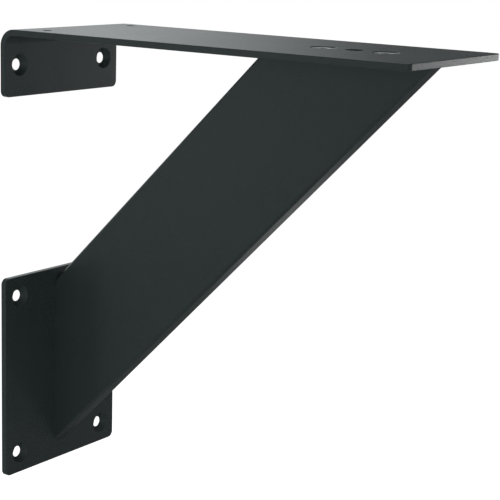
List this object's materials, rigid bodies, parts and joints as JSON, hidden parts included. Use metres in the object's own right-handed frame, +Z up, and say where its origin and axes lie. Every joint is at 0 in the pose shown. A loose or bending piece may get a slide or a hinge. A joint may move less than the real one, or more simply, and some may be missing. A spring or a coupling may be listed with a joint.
{
  "type": "bar counter bracket",
  "caption": "Wall bracket for a raised bar counter: folded top plate and wall plate joined by a diagonal flat-bar brace.",
  "frame": {"origin": "centre of the wall plate's fixing-hole pattern, on the wall plane", "axes": "+X out of the wall, +Y along the wall, +Z up towards the counter face"},
  "size_m": [0.218, 0.08, 0.22],
  "materials": {
    "powder_coat": "satin powder coat, anthracite",
    "screw_steel": "zinc-plated steel"
  },
  "bodies": {
    "root": {"top_plate": "powder_coat", "wall_plate": "powder_coat", "brace": "powder_coat", "top_screws": "screw_steel", "wall_screws": "screw_steel"}
  },
  "joints": []
}
